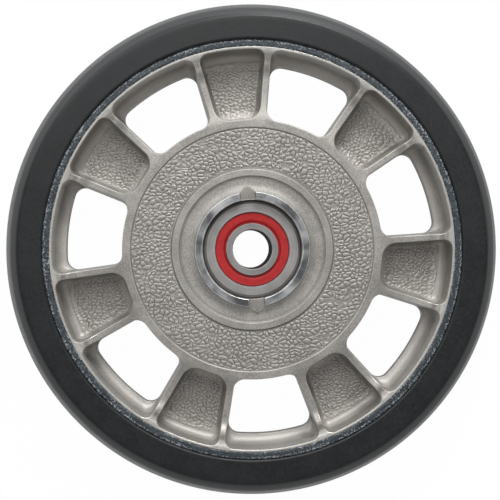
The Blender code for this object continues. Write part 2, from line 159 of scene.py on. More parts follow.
def eased(points, reach, steps=4):
    """Section with soft corners. From reach before a corner to reach after it, the line follows the curve
    start (1 - t)^2 + corner 2t (1 - t) + end t^2, which leaves each side along that side."""
    points = np.asarray(points, float)
    before, corner, after = points[:-2], points[1:-1], points[2:]
    back, on = before - corner, after - corner
    back_length = np.linalg.norm(back, axis=1, keepdims=True)
    on_length = np.linalg.norm(on, axis=1, keepdims=True)
    cut = np.minimum(np.broadcast_to(reach, len(corner))[:, None], 0.45 * np.minimum(back_length, on_length))
    start, end = corner + back / back_length * cut, corner + on / on_length * cut
    t = np.linspace(0, 1, steps + 1)[None, :, None]
    curve = start[:, None] * (1 - t) ** 2 + corner[:, None] * 2 * t * (1 - t) + end[:, None] * t ** 2
    return np.concatenate([points[:1], curve.reshape(-1, 2), points[-1:]])


def revolve(section, angles):
    """Ring of revolution: row i is the circle that section point (radius, height) i draws."""
    radius, height = np.asarray(section, float).T
    flat = polar(radius[:, None], np.asarray(angles)[None, :])
    return np.concatenate([flat, np.broadcast_to(height[:, None, None], flat.shape[:2] + (1,))], -1)


def arc(radius_at, height_at, size, start, end, steps):
    """Points of an arc in the section, from one angle in degrees to another."""
    return np.array([radius_at, height_at]) + polar(size, np.radians(np.linspace(start, end, steps + 1)))


def mirrored(section):
    """The same section on the other side of the wheel's middle, in reverse order."""
    return np.asarray(section)[::-1] * [1, -1]


def circle(count):
    return np.linspace(0, 2 * math.pi, count, endpoint=False)


# %% [markdown]
# ## Grain and noise
#
# Two of the mould's surfaces are pebbled: the pockets' floors and the ring round the boss. Each pebble is a
# cell round a random centre. With the distances to the nearest and the second nearest centre, their
# difference is large inside a pebble and nothing on the valley between two. Bending the coordinates first
# with smooth noise makes the cells long and curled, as on the casting.

# %% Noise in numpy
def hashed(x, y, seed):
    """Random number from 0 to 1 for each whole-number cell: the fraction of a large sine."""
    return np.abs(np.modf(np.sin(x * 127.1 + y * 311.7 + seed * 74.7) * 43758.5453)[0])


def drift(x, y, size, seed):
    """Smooth noise from -1 to 1: the corner values of a square cell, blended with 3t^2 - 2t^3."""
    u, v = x / size, y / size
    column, row = np.floor(u), np.floor(v)
    a, b = u - column, v - row
    a, b = a * a * (3 - 2 * a), b * b * (3 - 2 * b)
    low = hashed(column, row, seed) * (1 - a) + hashed(column + 1, row, seed) * a
    high = hashed(column, row + 1, seed) * (1 - a) + hashed(column + 1, row + 1, seed) * a
    return 2 * (low * (1 - b) + high * b) - 1


def pebbles(x, y, size, seed):
    """Pebble height from 0 to 1: second nearest distance minus nearest, over cells bent by smooth noise.
    The cells are longer across the picture than up it."""
    u = x / (1.25 * size) + 0.42 * drift(x, y, 1.9 * size, seed + 1)
    v = y / (0.88 * size) + 0.42 * drift(x, y, 1.9 * size, seed + 2)
    column, row = np.floor(u), np.floor(v)
    near, second = np.full(x.shape, 9.0), np.full(x.shape, 9.0)
    for right, up in [(i, j) for i in (-1, 0, 1) for j in (-1, 0, 1)]:
        centre_u = column + right + hashed(column + right, row + up, seed)
        centre_v = row + up + hashed(column + right, row + up, seed + 9)
        away = np.hypot(u - centre_u, v - centre_v)
        second = np.minimum(second, np.maximum(near, away))
        near = np.minimum(near, away)
    height = np.clip((second - near) / 0.62, 0, 1)
    return height * (2 - height)


def smooth_step(low, high, value):
    t = np.clip((value - low) / (high - low), 0, 1)
    return t * t * (3 - 2 * t)


# %% [markdown]
# ## Node groups
#
# Casting skin, edges and hollows, and tool marks are shared by several materials, so each is a node group
# with named inputs and outputs. The groups only give masks, tones and heights. The shader stays in the material.

# %% Group helpers
def new_group(name, inputs, outputs):
    group = bpy.data.node_groups.new(name, "ShaderNodeTree")
    for label, value in inputs:
        socket = group.interface.new_socket(name=label, in_out="INPUT", socket_type="NodeSocketFloat")
        socket.default_value = value
    for label in outputs:
        group.interface.new_socket(name=label, in_out="OUTPUT", socket_type="NodeSocketFloat")
    return group, group.nodes.new("NodeGroupInput"), group.nodes.new("NodeGroupOutput")


def add_node(tree, kind, links=(), **settings):
    """Node with its settings, and its inputs linked or set: {input: output socket or value}."""
    node = tree.nodes.new(kind)
    for key, value in settings.items():
        setattr(node, key, value)
    for key, value in dict(links).items():
        if isinstance(value, bpy.types.NodeSocket):
            tree.links.new(value, node.inputs[key])
        else:
            node.inputs[key].default_value = value
    return node


def maths(tree, operation, first, second=0.5):
    return add_node(tree, "ShaderNodeMath", {0: first, 1: second}, operation=operation).outputs[0]


def ramp(tree, value, low, high, bottom=0.0, top=1.0):
    """Value taken smoothly from one range to another, and held at its ends."""
    node = add_node(tree, "ShaderNodeMapRange", {
        "Value": value, "From Min": low, "From Max": high, "To Min": bottom, "To Max": top,
    }, interpolation_type="SMOOTHSTEP")
    return node.outputs["Result"]


def noise(tree, vector, scale, detail=2.0, rough=0.5):
    node = add_node(tree, "ShaderNodeTexNoise", {
        "Vector": vector, "Scale": scale, "Detail": detail, "Roughness": rough,
    })
    return node.outputs["Fac"]


# %% Casting skin
skin, skin_in, skin_out = new_group(
    "casting skin", [("Grain", 900.0), ("Cloud", 60.0)], ["Tone", "Height"]
)
place = add_node(skin, "ShaderNodeTexCoord").outputs["Object"]
fine = noise(skin, place, skin_in.outputs["Grain"], 3, 0.6)
cloud = noise(skin, place, skin_in.outputs["Cloud"], 4, 0.6)
weighed = maths(skin, "ADD", maths(skin, "MULTIPLY", fine, 0.65), maths(skin, "MULTIPLY", cloud, 0.35))
skin.links.new(weighed, skin_out.inputs["Tone"])
skin.links.new(fine, skin_out.inputs["Height"])

# %% Edge wear, highlight and hollows
# Edge: convex edges in patches, worn on the casting and a painted highlight on the turned collar.
wear, wear_in, wear_out = new_group("edge wear and highlight", [("Breakup", 350.0)], ["Edge", "Hollow"])
bend = add_node(wear, "ShaderNodeAttribute", attribute_name="bend").outputs["Fac"]
place = add_node(wear, "ShaderNodeTexCoord").outputs["Object"]
patch = ramp(wear, noise(wear, place, wear_in.outputs["Breakup"], 3, 0.6), 0.3, 0.7, 0.45, 1.0)
edge = ramp(wear, maths(wear, "MULTIPLY", bend, -1.0), 0.25, 1.4)
wear.links.new(maths(wear, "MULTIPLY", edge, patch), wear_out.inputs["Edge"])
wear.links.new(ramp(wear, bend, 0.15, 1.6), wear_out.inputs["Hollow"])

# %% Tool marks
turned, turned_in, turned_out = new_group("tool marks", [("Rings", 2600.0)], ["Line", "Smear", "Radius"])
place = add_node(turned, "ShaderNodeTexCoord").outputs["Object"]
across = add_node(turned, "ShaderNodeSeparateXYZ", {"Vector": place})
square = maths(turned, "ADD", maths(turned, "POWER", across.outputs["X"], 2.0),
               maths(turned, "POWER", across.outputs["Y"], 2.0))
reach = maths(turned, "SQRT", square)
line = add_node(turned, "ShaderNodeTexNoise", {
    "W": maths(turned, "MULTIPLY", reach, turned_in.outputs["Rings"]), "Scale": 1.0, "Detail": 2.0,
}, noise_dimensions="1D").outputs["Fac"]
turned.links.new(reach, turned_out.inputs["Radius"])
turned.links.new(line, turned_out.inputs["Line"])
turned.links.new(noise(turned, place, 110.0, 3, 0.55), turned_out.inputs["Smear"])


# %% [markdown]
# ## Materials
#
# The casting is a pale warm grey metal that has never been machined or painted. It is duller than bare
# sheet metal because its skin is full of fine grain, so its roughness is high and its metallic value is
# part way. The collar and the bearing's rings were turned and ground, and they mirror their surroundings
# in streaks. Colours are written as sRGB numbers and converted.

# %% Material helpers
def linear(colour):
    """sRGB numbers from 0 to 255 as Blender's linear colour."""
    share = np.asarray(colour, float) / 255
    value = np.where(share <= 0.04045, share / 12.92, ((share + 0.055) / 1.055) ** 2.4)
    return [*value.tolist(), 1.0]


def new_material(name, **sockets):
    material = bpy.data.materials.new(name)
    material.use_nodes = True
    tree = material.node_tree
    shader = tree.nodes["Principled BSDF"]
    for label, value in sockets.items():
        shader.inputs[label.replace("_", " ")].default_value = value
    return material, tree, shader


def place_group(tree, group, **values):
    node = tree.nodes.new("ShaderNodeGroup")
    node.node_tree = group
    for label, value in values.items():
        node.inputs[label].default_value = value
    return node


def blend_colours(tree, share, first, second):
    """Mix of two colours, each a socket or sRGB numbers."""
    node = tree.nodes.new("ShaderNodeMix")
    node.data_type = "RGBA"
    tree.links.new(share, node.inputs["Factor"])
    for label, colour in (("A", first), ("B", second)):
        socket = next(s for s in node.inputs if s.name == label and s.type == "RGBA")
        if isinstance(colour, bpy.types.NodeSocket):
            tree.links.new(colour, socket)
        else:
            socket.default_value = linear(colour)
    return next(s for s in node.outputs if s.type == "RGBA")


def add_bump(tree, shader, height, strength, distance):
    node = add_node(tree, "ShaderNodeBump", {
        "Height": height, "Strength": strength, "Distance": distance * MM,
    })
    tree.links.new(node.outputs["Normal"], shader.inputs["Normal"])


# %% Cast metal
def band(tree, value, low, high, soft):
    """1 where a value in metres lies between two lengths in mm, with soft ends."""
    return maths(tree, "MULTIPLY", ramp(tree, value, (low - soft) * MM, (low + soft) * MM),
                 ramp(tree, value, (high + soft) * MM, (high - soft) * MM))


def cast_material(name, low, high, hollow, grain, bump, roughness):
    material, tree, shader = new_material(name, Metallic=0.5, Specular_IOR_Level=0.4)
    surface = place_group(tree, skin, Grain=grain, Cloud=70.0)
    bend_masks = place_group(tree, wear, Breakup=300.0)
    tone = ramp(tree, surface.outputs["Tone"], 0.36, 0.64)
    colour = blend_colours(tree, tone, low, high)
    radius = place_group(tree, turned, Rings=2600.0).outputs["Radius"]
    place = add_node(tree, "ShaderNodeTexCoord").outputs["Object"]
    height = maths(tree, "ABSOLUTE", add_node(tree, "ShaderNodeSeparateXYZ", {"Vector": place}).outputs["Z"])
    # Painted shade: darker band on the ribs' steep rise by the rim and in the trough by the boss's step.
    on_ribs = maths(tree, "MULTIPLY", band(tree, radius, 76.3, 78.2, 0.6), band(tree, height, 15.0, 22.0, 0.5))
    painted_shade = maths(tree, "MAXIMUM", on_ribs, maths(tree, "MULTIPLY", band(tree, radius, 28.6, 29.9, 0.5), 0.8))
    painted_shade = maths(tree, "MULTIPLY", painted_shade, ramp(tree, surface.outputs["Tone"], 0.3, 0.6, 0.8, 0.55))
    colour = blend_colours(tree, maths(tree, "MAXIMUM", painted_shade, bend_masks.outputs["Hollow"]), colour, hollow)
    # Painted light: the walls' feet near hub and rim, low in the pockets and windows, are lightened.
    sides = maths(tree, "MAXIMUM", ramp(tree, radius, 58 * MM, 55 * MM), ramp(tree, radius, 74 * MM, 77 * MM))
    painted_fill_light = maths(tree, "MULTIPLY", sides, ramp(tree, height, 9 * MM, 5 * MM))
    colour = blend_colours(tree, maths(tree, "MULTIPLY", painted_fill_light, 0.5), colour, (214, 210, 205))
    colour = blend_colours(tree, ramp(tree, height, 1.7 * MM, 0.9 * MM), colour, (62, 58, 53))
    # The rim's top: lower roughness is rubbed metal, the lighter colour is a painted highlight.
    at_rim = maths(tree, "MULTIPLY", ramp(tree, radius, 79.3 * MM, 80.4 * MM), ramp(tree, height, 17.5 * MM, 18.1 * MM))
    colour = blend_colours(tree, maths(tree, "MULTIPLY", at_rim, 0.5), colour, (206, 203, 198))
    on_rise = maths(tree, "MULTIPLY", band(tree, radius, 71.8, 75.4, 0.4), band(tree, height, 15.0, 19.0, 0.3))
    polished = maths(tree, "MAXIMUM", at_rim, on_rise)
    colour = blend_colours(tree, bend_masks.outputs["Edge"], colour, (188, 185, 180))
    tree.links.new(colour, shader.inputs["Base Color"])
    dull = ramp(tree, surface.outputs["Tone"], 0.3, 0.7, roughness - 0.06, roughness + 0.08)
    smoother = maths(tree, "ADD", maths(tree, "MULTIPLY", bend_masks.outputs["Edge"], 0.12),
                     maths(tree, "MULTIPLY", polished, 0.17))
    tree.links.new(maths(tree, "SUBTRACT", dull, smoother), shader.inputs["Roughness"])
    add_bump(tree, shader, surface.outputs["Height"], bump, 0.06)
    return material


cast_metal = cast_material("cast metal", (130, 127, 122), (172, 169, 164), (104, 100, 95), 2300.0, 0.9, 0.52)
pebbled_metal = cast_material("pebbled metal", (132, 129, 124), (166, 163, 159), (72, 69, 65), 2300.0, 0.7, 0.58)
# Pocket metal is a lighter copy of the pebbled metal: painted light against the deep pockets' shade.
pocket_metal = cast_material("pocket metal", (154, 150, 144), (186, 182, 177), (102, 98, 93), 2300.0, 0.6, 0.55)
# Notch metal is a darker copy: on the collar's ends beside the notches it is painted shade.
notch_metal = cast_material("notch metal", (112, 109, 104), (150, 147, 142), (84, 81, 77), 2300.0, 0.9, 0.55)

# %% Turned and ground metal
def ground_material(name, low, high, edge, roughness, rings, smear, metallic, specular=0.5):
    material, tree, shader = new_material(name, Metallic=metallic, Specular_IOR_Level=specular)
    marks = place_group(tree, turned, Rings=rings)
    bend_masks = place_group(tree, wear, Breakup=260.0)
    tone = maths(tree, "ADD", maths(tree, "MULTIPLY", marks.outputs["Line"], 1 - smear),
                 maths(tree, "MULTIPLY", marks.outputs["Smear"], smear))
    colour = blend_colours(tree, ramp(tree, tone, 0.38, 0.68), low, high)
    # Convex edges take the edge colour; on the turned collar, nearly white, it is a painted highlight.
    colour = blend_colours(tree, bend_masks.outputs["Edge"], colour, edge)
    tree.links.new(colour, shader.inputs["Base Color"])
    dull = ramp(tree, marks.outputs["Smear"], 0.3, 0.7, roughness - 0.08, roughness + 0.1)
    tree.links.new(maths(tree, "ADD", dull, maths(tree, "MULTIPLY", bend_masks.outputs["Edge"], 0.2)),
                   shader.inputs["Roughness"])
    add_bump(tree, shader, marks.outputs["Line"], 0.25, 0.02)
    return material


# The turned collar's nearly white edge colour is a painted highlight on its edges.
turned_metal = ground_material("turned metal", (104, 106, 108), (192, 193, 194), (240, 241, 242), 0.3, 2600.0, 0.8, 1.0)
ring_steel = ground_material("ring steel", (128, 126, 125), (154, 152, 151), (174, 172, 171), 0.42, 3400.0, 0.4, 0.2)
inner_steel = ground_material("inner steel", (114, 112, 111), (140, 138, 137), (168, 166, 165), 0.42, 3400.0, 0.4, 0.2)
# Nearly black metal: painted shade in the deep bore and on the spacer sleeve behind it.
bore_shade = ground_material("bore shade", (18, 18, 19), (28, 28, 29), (34, 34, 34), 0.8, 2600.0, 0.4, 0.0, 0.1)

# %% Rubber and polymer
def soft_material(name, low, high, hollow, roughness, cloud, grain, bump, dust_and_sheen_from=200.0):
    """Rubber or plastic. Outside the radius dust_and_sheen_from, in mm, it is lighter grey: dust and a painted sheen.
    """
    material, tree, shader = new_material(name, Specular_IOR_Level=0.45)
    surface = place_group(tree, skin, Grain=grain, Cloud=cloud)
    bend_masks = place_group(tree, wear, Breakup=300.0)
    colour = blend_colours(tree, ramp(tree, surface.outputs["Tone"], 0.35, 0.65), low, high)
    radius = place_group(tree, turned, Rings=2600.0).outputs["Radius"]
    colour = blend_colours(tree, ramp(tree, radius, dust_and_sheen_from * MM, (dust_and_sheen_from + 1) * MM), colour, (58, 60, 61))
    colour = blend_colours(tree, bend_masks.outputs["Hollow"], colour, hollow)
    tree.links.new(colour, shader.inputs["Base Color"])
    tree.links.new(ramp(tree, surface.outputs["Tone"], 0.3, 0.7, roughness - 0.07, roughness + 0.07),
                   shader.inputs["Roughness"])
    add_bump(tree, shader, surface.outputs["Height"], bump, 0.06)
    return material


# The tyre's shoulder, past 94.9 mm, is lighter grey: dust and a painted sheen.
tyre_rubber = soft_material("tyre rubber", (5, 8, 10), (21, 24, 26), (5, 7, 8), 0.45, 120.0, 1100.0, 0.7, 94.9)
seal_rubber = soft_material("seal rubber", (152, 15, 18), (174, 23, 26), (88, 10, 14), 0.45, 160.0, 900.0, 0.3)
cage_polymer = soft_material("cage polymer", (196, 186, 160), (208, 198, 174), (160, 150, 128), 0.45, 160.0, 900.0, 0.2)

# %% Scuffed flash
def scuffed_material(name, low, high, pale, inner, outer):
    """Rubber with pale specks where fine noise passes a level. The level drops towards both edges."""
    material, tree, shader = new_material(name, Roughness=0.5)
    surface = place_group(tree, skin, Grain=1500.0, Cloud=300.0)
    radius = place_group(tree, turned, Rings=2600.0).outputs["Radius"]
    near_edge = maths(tree, "ADD", ramp(tree, radius, (inner + 0.45) * MM, inner * MM),
                      ramp(tree, radius, (outer - 1.0) * MM, (outer - 0.1) * MM))
    place = add_node(tree, "ShaderNodeTexCoord").outputs["Object"]
    specks = maths(tree, "ADD", noise(tree, place, 1500.0, 3, 0.6), maths(tree, "MULTIPLY", near_edge, 0.13))
    specks = maths(tree, "ADD", specks, maths(tree, "MULTIPLY", noise(tree, place, 70.0), 0.3))
    colour = blend_colours(tree, ramp(tree, surface.outputs["Tone"], 0.36, 0.64), low, high)
    colour = blend_colours(tree, ramp(tree, specks, 0.74, 0.9), colour, pale)
    tree.links.new(colour, shader.inputs["Base Color"])
    add_bump(tree, shader, surface.outputs["Height"], 0.9, 0.06)
    return material


FLASH_INSIDE, FLASH_OUTSIDE = 82.2, 84.6
flash_rubber = scuffed_material("scuffed rubber", (20, 28, 34), (61, 70, 76), (156, 162, 167),
                                FLASH_INSIDE, FLASH_OUTSIDE)

# %% [markdown]
# ## The casting's section
#
# Cut through its axis, one face of the casting is a line that runs outwards: bearing seat, notch floor,
# trough, boss, pebbled ring, land, the ribs' dipping tops and the rim's lip. Between the hub disc and the
# rim that line is also the height of the ribs at each radius, so it serves twice.

# %% Face line
HUB_EDGE, RIM_INSIDE, LIP, BED = 52.7, 81.1, 82.1, 84.3
LAND, RIM_TOP, COLLAR_TOP = 18.0, 18.5, 20.3
SEAT, SHOULDER_BORE, SEAT_FLOOR = 20.0, 17.7, 5.9
NOTCH_FLOOR = 18.7
INNER_CIRCLE, OUTER_CIRCLE = 50.4, 81.7

TROUGH_SIZE, COLLAR_OUTSIDE = 5.5, 23.25
TROUGH_RISE_SIZE = 20.4
trough_middle = COLLAR_OUTSIDE + TROUGH_SIZE * math.sin(math.radians(40))
trough_start = math.degrees(math.acos(1 - (NOTCH_FLOOR - LAND) / TROUGH_SIZE))
trough = np.concatenate([
    arc(trough_middle, LAND + TROUGH_SIZE, TROUGH_SIZE, -90 - trough_start, -90, 7),
    arc(trough_middle, LAND + TROUGH_RISE_SIZE, TROUGH_RISE_SIZE, -90, -82, 4)[1:],
])
boss = eased([
    trough[-1], (29.9, LAND + 0.62), (32.5, LAND + 0.6), (32.85, LAND - 0.6),
    (49.2, LAND - 0.6), (49.6, LAND), (INNER_CIRCLE, LAND),
], [0.15, 0.25, 0.3, 0.3, 0.22], 3)[1:]
seat = eased([(SHOULDER_BORE, 0), (SHOULDER_BORE, SEAT_FLOOR), (SEAT, SEAT_FLOOR), (SEAT, NOTCH_FLOOR),
              trough[0]], [0.3, 0.2, 0.15], 2)
hub_line = np.concatenate([seat[:-1], trough, boss])

RIB_ROOT, RIB_LOW_AT, RIB_LOW = 53.2, 65.7, 15.5


def hollow(end_radius, end_height, steps):
    """Arc that is level at the ribs' lowest point; radius = (length^2 + rise^2) / (2 rise)."""
    length, rise = end_radius - RIB_LOW_AT, end_height - RIB_LOW
    size = (length ** 2 + rise ** 2) / (2 * rise)
    return arc(RIB_LOW_AT, RIB_LOW + size, size, -90, -90 + math.degrees(math.asin(length / size)), steps)


FLARE_END = (80.4, 18.42)
lip_height = np.interp(OUTER_CIRCLE, [FLARE_END[0], LIP], [FLARE_END[1], RIM_TOP])
hub_side = hollow(RIB_ROOT, LAND, 8)[::-1]
rim_side = eased([hub_side[-1], (71.2, RIB_LOW), (74.9, 17.4), (78.6, 17.55), FLARE_END, (OUTER_CIRCLE, lip_height)],
                 [1.5, 0.7, 0.5, 0.3])
rib_line = np.concatenate([eased([(INNER_CIRCLE, LAND), *hub_side], 0.4, 3)[:-1], rim_side])
rim_line = eased([(OUTER_CIRCLE, lip_height), (LIP, RIM_TOP), (LIP, 17.7), (BED, 17.7), (BED, 0)], 0.15, 3)


def face_height(points):
    """Height of the ribs' tops over a point: the face line read at the point's radius."""
    return np.interp(np.hypot(*points.T[:2]), *rib_line.T)


print("rib top in mm: root", LAND, "lowest", RIB_LOW, "rim", RIM_TOP)

# %% [markdown]
# ## Windows and pockets
#
# Every opening is a sector with round corners. Its sides are parallel to the middle lines of its ribs, so
# the ribs keep one thickness. An outline is one row of the grid, and the next rows are the same outline
# grown or shrunk at another height: first out to the cell's own border on the ribs' middle lines, then over
# the rounded edge, down the drafted wall and round the fillet on to the floor. Window cells and pocket cells
# meet in the same points on each rib's middle line.

# %% Outlines
PATTERN = 2 * math.pi / 7
FIRST_WINDOW = math.radians(70.3)
WINDOW_HALF = math.radians(15.07)
POCKET_HALF = PATTERN / 2 - WINDOW_HALF
RIB_HALF = 1.2
ARC_PARTS, CORNER_PARTS, SIDE_PARTS = 8, 8, 18
JOIN_RIM, JOIN_HUB = 76.4, 59.0


def steps_to(start, end, parts):
    """Values from start towards end, without the end."""
    return np.linspace(start, end, parts, endpoint=False)


def whole_loop(upper):
    """Closed outline from its upper half, which starts and ends on the middle line."""
    return np.concatenate([upper, upper[-2:0:-1] * [1, -1]])


def outline(half, outer, hub_corner, rim_corner, inner=HUB_EDGE):
    """Rounded sector about +X, and its outward directions."""
    rim_reach, hub_reach = outer - rim_corner, inner + hub_corner
    rim_swing = half - math.asin((RIB_HALF + rim_corner) / rim_reach)
    hub_swing = half - math.asin((RIB_HALF + hub_corner) / hub_reach)
    side = half + math.pi / 2
    rim_turn = steps_to(rim_swing, side, CORNER_PARTS)
    hub_turn = steps_to(side, hub_swing + math.pi, CORNER_PARTS)
    rim_end = polar(rim_reach, rim_swing) + polar(rim_corner, side)
    hub_end = polar(hub_reach, hub_swing) + polar(hub_corner, side)
    along = steps_to(0, 1, SIDE_PARTS)[:, None]
    far, near = steps_to(0, rim_swing, ARC_PARTS), np.linspace(hub_swing, 0, ARC_PARTS + 1)
    points = np.concatenate([
        polar(outer, far), polar(rim_reach, rim_swing) + polar(rim_corner, rim_turn),
        rim_end + (hub_end - rim_end) * along,
        polar(hub_reach, hub_swing) + polar(hub_corner, hub_turn), polar(inner, near),
    ])
    ways = np.concatenate([
        polar(1, far), polar(1, rim_turn), np.broadcast_to(polar(1, side), (SIDE_PARTS, 2)),
        polar(1, hub_turn), -polar(1, near),
    ])
    return whole_loop(points), whole_loop(ways)


def cell_border(half):
    """Border of a cell: two circles and the middle lines of its two ribs, in as many points."""
    share, lines = CORNER_PARTS // 2, []
    lines.append(polar(OUTER_CIRCLE, steps_to(0, 0.72 * half, ARC_PARTS)))
    lines.append(polar(OUTER_CIRCLE, steps_to(0.72 * half, half, share)))
    lines.append(polar(steps_to(OUTER_CIRCLE, JOIN_RIM, share), half))
    lines.append(polar(steps_to(JOIN_RIM, JOIN_HUB, SIDE_PARTS), half))
    lines.append(polar(steps_to(JOIN_HUB, INNER_CIRCLE, share), half))
    lines.append(polar(INNER_CIRCLE, steps_to(half, 0.6 * half, share)))
    lines.append(polar(INNER_CIRCLE, np.linspace(0.6 * half, 0, ARC_PARTS + 1)))
    return whole_loop(np.concatenate(lines))


# %% Walls
EDGE = 0.4
EDGE_TURNS = np.radians([0, 22.5, 45, 67.5, 90])
FILLET_TURNS = np.radians([0, 18, 36, 54, 72, 90])
DRAFT = math.tan(math.radians(2.4))
WEB, FILLET = 3.0, 2.5
LEDGE_EDGE, LEDGE_TOP, LEDGE_FILLET = 76.8, 2.55, 3.6
WINDOW_HUB_CORNER, WINDOW_RIM_CORNER, HOLE_RIM_CORNER = 5.0, 3.6, 4.5


def at_height(flat, height):
    return np.concatenate([flat, np.broadcast_to(height, (len(flat),))[:, None]], 1)


def drafted(height):
    return (RIM_TOP - height) * DRAFT


def top_rows(half, hub_corner, rim_corner):
    """Rows from a cell's border to the rounded edge, and on down the wall to the fillet."""
    points, ways = outline(half, RIM_INSIDE, hub_corner, rim_corner)
    border, top = cell_border(half), face_height(points)
    edge_start = points + ways * (EDGE - drafted(top))[:, None]
    rows = [at_height(flat, face_height(flat)) for flat in
            (border + (edge_start - border) * share for share in (0, 0.45, 0.8))]
    for turn in EDGE_TURNS:
        flat = points + ways * (EDGE * (1 - math.sin(turn)) - drafted(top))[:, None]
        rows.append(at_height(flat, face_height(flat) - EDGE * (1 - math.cos(turn))))
    upper = rows[-1][:, 2]
    for share in (0.33, 0.66):
        height = upper + (WEB + FILLET - upper) * share
        rows.append(at_height(points - ways * drafted(height)[:, None], height))
    return rows


def window_rows():
    """A window's rows: top and wall, wide fillet on the rim's side, and from its sharp edge the hole's wall."""
    rows = top_rows(WINDOW_HALF, WINDOW_HUB_CORNER, WINDOW_RIM_CORNER)
    wall = LEDGE_TOP + LEDGE_FILLET
    fillet = arc(RIM_INSIDE - drafted(wall) - LEDGE_FILLET, wall, LEDGE_FILLET, 0, -90, 9)
    for reach, height in [*fillet, (LEDGE_EDGE, LEDGE_TOP - 0.04), (LEDGE_EDGE - 0.15, LEDGE_TOP - 0.3),
                          (LEDGE_EDGE - 0.2, 0)]:
        inset = drafted(height)
        corner = inset + np.interp(height, [LEDGE_TOP, wall], [HOLE_RIM_CORNER, WINDOW_RIM_CORNER - inset])
        points, ways = outline(WINDOW_HALF, reach + inset, WINDOW_HUB_CORNER, corner)
        rows.append(at_height(points - ways * inset, height))
    return np.stack(rows)


def pocket_rows():
    """A pocket's rows: top and wall, fillet all round, and the floor, drawn in to one point."""
    rows = top_rows(POCKET_HALF, 6.4, 3.4)
    points, ways = outline(POCKET_HALF, RIM_INSIDE, 6.4, 3.4)
    for turn in FILLET_TURNS:
        height = WEB + FILLET * (1 - math.sin(turn))
        inset = drafted(height) + FILLET * (1 - math.cos(turn))
        rows.append(at_height(points - ways * inset, height))
    middle = np.array([66.0, 0.0, WEB])
    rows += [middle + (rows[-1] - middle) * share for share in (0.5, 0)]
    return np.stack(rows)


# %% Casting
def spun(grid, angle):
    """The grid turned about the wheel's axis."""
    c, s = math.cos(angle), math.sin(angle)
    return grid @ np.array([[c, s, 0], [-s, c, 0], [0, 0, 1]])


def turned_over(grid):
    return grid * [1, 1, -1]


def circle_angles(radius):
    """Angles of all the cell border points on one circle, which the rings beside the cells share."""
    found = []
    for half, middle in ((WINDOW_HALF, FIRST_WINDOW), (POCKET_HALF, FIRST_WINDOW + PATTERN / 2)):
        border = cell_border(half)
        on_circle = border[np.abs(np.hypot(*border.T) - radius) < 1e-6]
        angles = np.arctan2(on_circle[:, 1], on_circle[:, 0])
        found.append((angles[None] + middle + PATTERN * np.arange(7)[:, None]).ravel())
    return np.unique(np.round(np.concatenate(found) % (2 * math.pi), 7))


window = window_rows()
window = np.concatenate([window, turned_over(window)[-2::-1]])
pocket = pocket_rows()
grids = []
for number in range(7):
    grids.append((spun(window, FIRST_WINDOW + PATTERN * number), True, 0))
    angle = FIRST_WINDOW + PATTERN * (number + 0.5)
    grids += [(spun(pocket, angle), True, 0), (turned_over(spun(pocket, angle)), True, 0)]
grids.append((revolve(np.concatenate([mirrored(hub_line[1:]), hub_line]), circle_angles(INNER_CIRCLE)), True, 0))
grids.append((revolve(np.concatenate([rim_line, mirrored(rim_line[:-1])]), circle_angles(OUTER_CIRCLE)), True, 0))
casting = make_piece("casting", grids, [cast_metal], "wheel", ["wheel_casting"])

# %% [markdown]
# ## The collar and its notches
#
# The hub's end was faced on a lathe, which left a bright collar. Two notches cross it, and their floors run
# out over the trough in a point. The collar is its section swept along two arcs. Each arc ends on a plane
# beside the notch, so the end angle depends on the radius: it is the notch's angle plus the arcsine of the
# half width over the radius.

# %% Collar
NOTCH_WAYS = np.radians([95.0, 275.0])
turned_line = eased([(20.02, 19.3), (20.02, 19.9), (20.35, COLLAR_TOP), (23.05, COLLAR_TOP),
                     (COLLAR_OUTSIDE, 20.1), (COLLAR_OUTSIDE, 19.6)], [0.12, 0.14, 0.1, 0.1], 3)
foot_line = np.concatenate([
    [(COLLAR_OUTSIDE, 19.29)],
    arc(trough_middle, LAND + TROUGH_SIZE, TROUGH_SIZE, -128, -90 - trough_start, 5),
    [(24.7, 18.3), (24.0, 18.0), (20.5, 18.0), (20.02, 18.2)],
])


def collar_arc(way, face):
    """One half of the collar: its turned top, its cast foot and the cast ends beside the notches."""
    radius, height = np.concatenate([turned_line, foot_line]).T
    inset = np.interp(height, [NOTCH_FLOOR, COLLAR_TOP], [2.65, 3.4])
    first, last = way + np.arcsin(inset / radius), way + math.pi - np.arcsin(inset / radius)
    share = np.concatenate([[0, 0.0012, 0.003], np.linspace(0.006, 0.994, 150), [0.997, 0.9988, 1]])
    angles = first + (last - first) * share[:, None]
    ring = np.dstack([polar(radius, angles), np.broadcast_to(height, angles.shape)]) * [1, 1, face]
    split = len(turned_line)
    foot = np.concatenate([ring[:, split - 1:], ring[:, :1]], 1)
    ends = [np.stack([ring[index], np.broadcast_to(ring[index].mean(0), ring[index].shape)]) for index in (0, -1)]
    # The cast ends take the darker notch metal: painted shade on the notch's side walls.
    return [(ring[:, :split], False, 0), (foot, False, 1)] + [(end, True, 2) for end in ends]


collar_grids = [part for way in NOTCH_WAYS for face in (1, -1) for part in collar_arc(way, face)]
collar = make_piece("collar", collar_grids, [turned_metal, cast_metal, notch_metal], "wheel")


